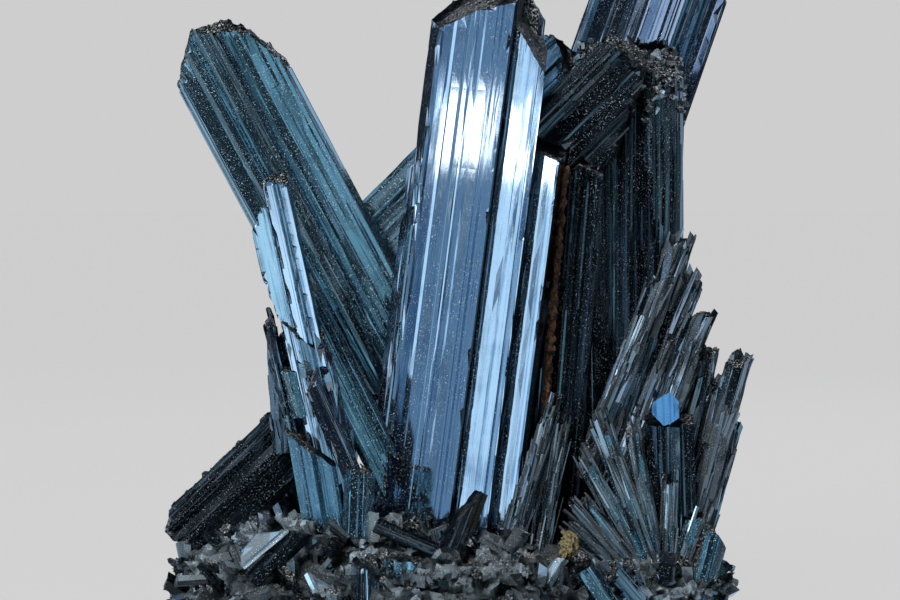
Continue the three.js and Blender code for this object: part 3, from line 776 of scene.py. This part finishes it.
# %% Splinters
def splinter(shape, layers, foot, along, outward, length, width, rng, pointed=1.0):
    """Adds one small prism to a mesh in millimetres. Outward is the way that its flatter side faces."""
    broken, shade, grain = layers
    across = outward.cross(along).normalized()
    outward = along.cross(across).normalized()
    sides = rng.choice((4, 5, 6))
    flat = rng.uniform(0.45, 0.9)
    corners = []
    for k in range(sides):
        angle = math.tau * (k + rng.uniform(-0.25, 0.25)) / sides
        corners.append((across * math.cos(angle) + outward * (flat * math.sin(angle))) * width / 2)
    slant = (across * rng.uniform(-1.2, 1.2) + outward * rng.uniform(-1.0, 0.6)) * pointed
    taper = 1 - pointed * rng.uniform(0.05, 0.4)
    bottom = [shape.verts.new(foot + corner * 0.8) for corner in corners]
    middle = [shape.verts.new(foot + along * length * 0.55 + corner) for corner in corners]
    top = [shape.verts.new(foot + along * (length + slant.dot(corner)) + corner * taper)
           for corner in corners]
    seed = rng.uniform(0, 50)
    faces = [(shape.faces.new(top), 1.0), (shape.faces.new(bottom[::-1]), 1.0)]
    for k in range(sides):
        after = (k + 1) % sides
        tone = rng.uniform(-1, 1)
        for low, high in ((bottom, middle), (middle, top)):
            face = shape.faces.new((low[k], low[after], high[after], high[k]))
            face[shade] = tone
            faces.append((face, 0.0))
    for face, rough in faces:
        face[broken] = rough
        for corner in face.loops:
            point = corner.vert.co
            corner[grain] = Vector((point.dot(across) + point.dot(outward), point.dot(along), seed))


def empty_splinters():
    """A mesh with no splinters yet, and the layers that each of them fills in."""
    shape = bmesh.new()
    layers = (shape.faces.layers.float.new("broken"), shape.faces.layers.float.new("shade"),
              shape.loops.layers.float_vector.new("grain"))
    return shape, layers


sample, sample_layers = empty_splinters()
splinter(sample, sample_layers, Vector(), Vector((0, 0, 1)), Vector((0, -1, 0)), 10, 2, random.Random(1))
print("one splinter has", len(sample.faces), "faces")
sample.free()

# %% [markdown]
# ## Where the splinters stand
# Splinters on a blade run along its grain and stop near the end of the face they lie on, so the
# blade's outline stays its own. Crystals in the crust point outwards and up instead, at random.


# %% Splinters on a host
LOWEST_FOOT = 2.5         # millimetres above the rest face


def host_of(node):
    """A node's solid, its search tree and its box, in millimetres."""
    shape = flat_solid(node)
    corners = [Vector(min(vert.co[k] for vert in shape.verts) for k in range(3)),
               Vector(max(vert.co[k] for vert in shape.verts) for k in range(3))]
    return shape, BVHTree.FromBMesh(shape), corners


def strike(tree, box, rng, low, high):
    """Where a sideways ray from anywhere round a host meets it, between two shares of its height."""
    middle = (box[0] + box[1]) / 2
    angle = rng.uniform(0, math.tau)
    height = box[0].z + (box[1].z - box[0].z) * rng.uniform(low, high)
    radius = (box[1] - box[0]).length
    goal = Vector((rng.uniform(box[0].x, box[1].x), rng.uniform(box[0].y, box[1].y), height))
    start = Vector((middle.x + radius * math.cos(angle), middle.y + radius * math.sin(angle), height))
    return tree.ray_cast(start, (goal - start).normalized())


def overgrow(node, name, slot, count, length, width, spread, low=0.0, high=1.0, past=1.0,
             finish=None):
    """Covers a crystal or a fan with splinters along its grain, reaching past a face's end in mm."""
    shape, tree, box = host_of(node)
    lines = grain_lines(shape)
    shape.faces.ensure_lookup_table()
    rng = random.Random(name)
    made, layers = empty_splinters()
    for _ in range(count):
        place, normal, index, _ = strike(tree, box, rng, low, high)
        size = rng.uniform(*width)
        reach_up = rng.uniform(*length)
        tilt = [rng.gauss(0, spread) for _ in range(3)]
        grain = grain_of(shape.faces[index], lines) if place else None
        if grain is None:
            continue
        along = (grain + Vector(tilt) + normal * abs(tilt[0]) * 0.6).normalized()
        start, end = reach([shape.faces[index]], grain)
        here = place.dot(grain)
        reach_up = min(reach_up, end - start + past)
        under = min(reach_up * 0.5, here - start)
        under = max(under, here + reach_up - end - past)
        foot = place - along * under - normal * size * 0.2
        splinter(made, layers, foot, along, normal, reach_up, size, rng)
    shape.free()
    bmesh.ops.triangulate(made, faces=made.faces)
    return stand(made, name, slot, finish=finish)


def litter(name, slot, count, length, width, low, high, rise, finish=None, host="crust"):
    """Sticks small crystals in the crust or another host, pointing outwards and up."""
    shape, tree, box = host_of(host)
    rng = random.Random(name)
    made, layers = empty_splinters()
    for _ in range(count):
        place, normal, _, _ = strike(tree, box, rng, low, high)
        size = rng.uniform(*width)
        reach_out = rng.uniform(*length)
        way = Vector((rng.gauss(0, 0.7), rng.gauss(0, 0.7), rng.gauss(rise, 0.4)))
        if place is None:
            continue
        along = (normal * 0.7 + way).normalized()
        if place.z + along.z * reach_out < 2:
            continue
        foot = place - along * reach_out * 0.45
        foot.z = max(foot.z, LOWEST_FOOT)
        splinter(made, layers, foot, along, way.orthogonal(), reach_out, size, rng, 0.4)
    shape.free()
    bmesh.ops.triangulate(made, faces=made.faces)
    return stand(made, name, slot, finish=finish)


print("splinters stand at least", LOWEST_FOOT, "mm above the rest face")

# %% [markdown]
# ## Needles, ribs and glints
# Each line covers one host: how many splinters, their lengths and widths in millimetres, and how far
# they stray from its grain. Dark needles make up most of a fan, and a few bright or grey ones give it
# its glitter. The big prisms only get long low ribs. The last two lines break up the top of the dark
# prism on the right.

# %% Needles, ribs and glints
overgrow("upper_right_spray", "upper_spray_needles", "dark", 620, (5, 22), (0.8, 3.0), 0.05,
         finish="needle")
overgrow("upper_right_spray", "upper_spray_glints", "bright", 90, (3, 10), (0.7, 2.0), 0.08)
overgrow("right_edge_spray", "edge_spray_needles", "dark", 420, (4, 20), (0.8, 3.2), 0.05,
         finish="needle")
overgrow("right_edge_spray", "edge_spray_glints", "bright", 60, (3, 9), (0.7, 2.0), 0.08)
overgrow("lower_right_fan", "fan_needles", "dark", 380, (6, 26), (0.6, 2.0), 0.035, past=3.0,
         finish="needle")
overgrow("lower_right_fan", "fan_glints", "teal", 160, (5, 22), (0.5, 1.6), 0.03, finish="grey")
overgrow("needle_bundle", "bundle_glints", "teal", 110, (8, 24), (0.4, 1.2), 0.04, finish="grey")
overgrow("needle_bundle", "bundle_needles", "dark", 380, (8, 28), (0.5, 1.6), 0.04, past=3.0,
         finish="needle")
overgrow("right_crystal", "right_crystal_ribs", "dark", 220, (10, 45), (0.6, 2.2), 0.006, past=0)
overgrow("right_front_crystal", "right_front_ribs", "dark", 60, (10, 34), (0.5, 1.3), 0.004, past=0)
overgrow("tilted_crystal", "tilted_ribs", "dark", 110, (6, 20), (0.5, 1.8), 0.012, past=0)
overgrow("front_left_crystal", "front_left_splinters", "bright", 150, (3, 12), (1.0, 3.4), 0.05, 0.0,
         0.5)
overgrow("split_blade", "split_blade_splinters", "dark", 90, (3, 12), (0.8, 2.4), 0.07)
overgrow("left_back_shard", "back_shard_splinters", "dark", 70, (3, 9), (0.8, 2.6), 0.1)
overgrow("lower_left_crystal", "lower_left_ribs", "dark", 80, (5, 22), (0.6, 2.2), 0.012, past=0)
overgrow("left_crystal", "left_crystal_ribs", "teal", 50, (14, 60), (0.5, 1.2), 0.002, 0.05, 0.85,
         past=-4)
overgrow("back_left_fan", "back_left_needles", "dark", 260, (5, 22), (0.7, 2.6), 0.05)
overgrow("back_right_fan", "back_right_needles", "dark", 260, (5, 22), (0.7, 2.6), 0.05)
litter("crust_top_crystals", "teal", 90, (4, 8), (2.2, 5.0), 0.55, 0.98, 0.9, finish="needle")
litter("crust_side_crystals", "dark", 130, (4, 8), (2.4, 6.0), 0.06, 0.95, 0.2, finish="grey")
litter("crust_dark_crystals", "dark", 130, (4, 8), (2.0, 6.0), 0.06, 0.95, 0.2)
litter("crust_pale_blocks", "bright", 50, (3, 6), (2.0, 5.0), 0.06, 0.98, 0.3, finish="pale")
litter("crust_glints", "bright", 260, (1.5, 3.5), (0.8, 2.4), 0.06, 0.98, 0.4)
litter("fracture_glints", "dark", 150, (1.0, 2.2), (1.0, 2.6), 0.86, 1.0, 0.3, finish="pale",
       host="right_crystal")
litter("fracture_grains", "dark", 150, (1.0, 2.4), (1.2, 3.0), 0.84, 1.0, 0.3, finish="grey",
       host="right_crystal")

# %% [markdown]
# ## The rusty seam
# Iron-stained crust fills the groove between the central crystal and the one on its right. It is a
# thin lumpy ribbon: rings along a line, with a radius that noise changes from point to point.


# %% Rusty seam
SEAM_STOPS = [(0.645, 0.44, 0.16), (0.662, 0.44, 0.42), (0.686, 0.44, 0.655)]   # shares of the box


def seam(name, slot, finish, stops, width, depth, step=0.8, sides=10):
    """A lumpy ribbon through some places in millimetres."""
    shape = bmesh.new()
    rings = []
    for first, last in zip(stops, stops[1:]):
        count = max(1, round((last - first).length / step))
        for k in range(count + (last is stops[-1])):
            middle = first.lerp(last, k / count)
            ring = []
            for corner in range(sides):
                angle = math.tau * corner / sides
                way = Vector((math.cos(angle) * width / 2, math.sin(angle) * depth / 2, 0))
                lump = 0.75 + 0.6 * noise.noise((middle + way) * 0.5) + 0.35 * noise.cell(middle + way)
                ring.append(shape.verts.new(middle + way * lump))
            rings.append(ring)
    for low, high in zip(rings, rings[1:]):
        for corner in range(sides):
            after = (corner + 1) % sides
            shape.faces.new((low[corner], low[after], high[after], high[corner]))
    shape.faces.new(rings[0][::-1])
    shape.faces.new(rings[-1])
    bmesh.ops.triangulate(shape, faces=shape.faces)
    return stand(shape, name, slot, finish=finish)


seam("rusty_seam", "ochre", "rust", [in_box(*stop) / MM for stop in SEAM_STOPS], 2.5, 5.0)

# %% [markdown]
# ## The room that the metal mirrors
# Metal shows what it mirrors, so the room matters more than the colour. Each entry of `GLOWS` is a
# soft bright patch of the air. Pale and blue ones to the front left meet the broad faces, thin slits
# on the right give single glints on the dark side, and three walls light the sides and the back. The
# air between them is dim, which keeps the other faces near black. The camera itself sees only one
# pale grey, so the spray stands free.

# %% The room
PALE = 0.617
DIM = (0.010, 0.016, 0.024)
# Each glow: its way and height in degrees, half its width and height, its soft edge, and its colour.
GLOWS = {
    "pale_window": (-70, 6, 13, 14, 2.5, (0.62, 0.9, 1.15)),
    "blue_wall": (-45, 6, 10, 14, 3, (0.11, 0.22, 0.36)),
    "sky_corner": (-54, 25, 14, 7, 4, (0.4, 0.5, 0.7)),
    "low_window": (-43, -14, 7, 4, 3, (0.75, 1.05, 1.3)),
    "low_left_window": (-31, -10, 4, 4, 2.5, (0.5, 0.85, 1.05)),
    "camera_wall": (6, -5, 12, 12, 6, (0.2, 0.36, 0.46)),
    "teal_corner": (27, 13, 12, 16, 6, (0.05, 0.11, 0.13)),
    "front_left_window": (-20, 30, 6, 12, 4, (0.3, 0.36, 0.42)),
    "right_slit": (62, 6, 2.0, 40, 1.5, (0.2, 0.26, 0.34)),
    "front_slit": (18, 20, 1.5, 40, 1.5, (0.12, 0.16, 0.2)),
    "right_wall": (118, 8, 14, 30, 8, (0.5, 0.62, 0.8)),
    "back_wall": (172, 4, 12, 30, 8, (0.45, 0.56, 0.72)),
    "left_wall": (-128, 6, 14, 30, 8, (0.5, 0.64, 0.82)),
}
FLOOR_GLOW = (0.24, 0.27, 0.3)
GLOWLESS_CORNER = -40     # degrees: the floor doesn't glow this way, where the left prism mirrors it


def within(room, value, middle, half, edge):
    """A mask that is 1 while an angle is near the middle, with a soft edge. All in degrees."""
    away = room.math("ABSOLUTE", value - math.radians(middle))
    return 1 - away.ramp(math.radians(half - edge), math.radians(half + edge))


def soft_room():
    """The air: pale to the camera, and to everything else a dim room with soft glows."""
    world = bpy.data.worlds.new("room")
    bpy.context.scene.world = world
    world.use_nodes = True
    world.node_tree.nodes.clear()
    room = Link(world.node_tree)
    way = room.node("ShaderNodeTexCoord", output="Generated")
    right, back, up = (room.node("ShaderNodeSeparateXYZ", {0: way}, output=axis) for axis in range(3))
    turn = room.math("ARCTAN2", right, back * -1)
    rise = room.math("ARCSINE", up)
    corner = within(room, turn, GLOWLESS_CORNER, 26, 8)
    downwards = (rise * -1).ramp(math.radians(13), math.radians(24))
    light = (downwards * (1 - corner)).between(colour(*DIM), colour(*FLOOR_GLOW))
    for azimuth, elevation, half_width, half_height, edge, tint in GLOWS.values():
        aside = within(room, turn, azimuth, half_width, edge)
        above = within(room, rise, elevation, half_height, edge)
        inside = aside * above
        light = room.node("ShaderNodeMix", {0: inside, 6: light, 7: colour(*tint)}, output=2,
                          data_type="RGBA", blend_type="ADD")
    straight = room.node("ShaderNodeLightPath", output="Is Camera Ray")
    seen = straight.between(light, colour(PALE, PALE, PALE))
    air = room.node("ShaderNodeBackground", {"Color": seen})
    output = world.node_tree.nodes.new("ShaderNodeOutputWorld")
    world.node_tree.links.new(air.socket, output.inputs["Surface"])


soft_room()
print("the room has", len(GLOWS), "glows")

# %% [markdown]
# ## The floor
# The floor has the same pale grey as the air, and only a little of it answers to light, so the spray
# leaves a faint shadow and the horizon doesn't show. Metal doesn't mirror it, or its pale grey would
# wash out the dark faces.


# %% Floor
def pale_floor():
    """A wide pale floor that metal doesn't mirror, with a faint shadow under the spray."""
    shape = bmesh.new()
    bmesh.ops.create_circle(shape, cap_ends=True, segments=64, radius=30)
    mesh = bpy.data.meshes.new("floor")
    shape.to_mesh(mesh)
    shape.free()
    finish = bpy.data.materials.new("pale_floor")
    finish.use_nodes = True
    tree = finish.node_tree
    tree.nodes.clear()
    maker = Link(tree)
    glow = maker.node("ShaderNodeEmission", {"Color": colour(PALE, PALE, PALE), "Strength": 0.99})
    matt = maker.node("ShaderNodeBsdfDiffuse", {"Color": colour(0.015, 0.015, 0.015)})
    both = maker.node("ShaderNodeAddShader", {0: glow, 1: matt})
    output = tree.nodes.new("ShaderNodeOutputMaterial")
    tree.links.new(both.socket, output.inputs["Surface"])
    mesh.materials.append(finish)
    floor = bpy.data.objects.new("floor", mesh)
    floor.location.z = low_corner.z - 0.0002
    floor.visible_glossy = False
    bpy.context.scene.collection.objects.link(floor)
    return floor


floor = pale_floor()
print("the floor lies at", round(floor.location.z / MM, 2), "mm")

# %% [markdown]
# ## The lights
# One small key panel stands to the front left, level with the upper part of the central prism. Its
# mirror image is the white highlight there. The face leans, so the panel stands a little higher than
# where the highlight falls. The other two lights aren't mirrored: they only brighten the dull grains
# and dust, which would be black in a room this dark.

# %% Lights
KEY_AZIMUTH = math.radians(-57)
KEY_DISTANCE = 0.3
KEY_HEIGHT = 0.169
WHITE = (1.0, 1.0, 1.0)


def panel(name, place, towards, width, height, power, tint, mirrored=True):
    """A soft light at a place, facing a point. One that isn't mirrored only lights dull grains."""
    light = bpy.data.lights.new(name, "AREA")
    light.shape = "RECTANGLE"
    light.size = width
    light.size_y = height
    light.energy = power
    light.color = tint
    lamp = bpy.data.objects.new(name, light)
    lamp.location = place
    lamp.rotation_euler = (Vector(towards) - Vector(place)).to_track_quat("-Z", "Y").to_euler()
    lamp.visible_camera = False
    lamp.visible_glossy = mirrored
    bpy.context.scene.collection.objects.link(lamp)
    print(f"{name}: {power} W, {1000 * width:.0f} by {1000 * height:.0f} mm")


broad_face = in_box(0.5, 0.4, 0.735)
spray_middle = in_box(0.5, 0.5, 0.4)
key_way = Vector((math.sin(KEY_AZIMUTH), -math.cos(KEY_AZIMUTH), 0.0))
key_place = broad_face + key_way * KEY_DISTANCE
key_place.z = low_corner.z + KEY_HEIGHT
key_goal = Vector((broad_face.x, broad_face.y, key_place.z))
panel("key_panel", key_place, key_goal, 0.11, 0.026, 0.026, (0.95, 0.98, 1.0))
panel("dust_light", in_box(-1.5, -8.0, 4.5), spray_middle, 0.5, 0.5, 34, WHITE, mirrored=False)
panel("back_dust_light", in_box(2.5, 8.0, 3.5), spray_middle, 0.5, 0.5, 10, WHITE, mirrored=False)
bpy.context.scene.view_settings.view_transform = "Standard"
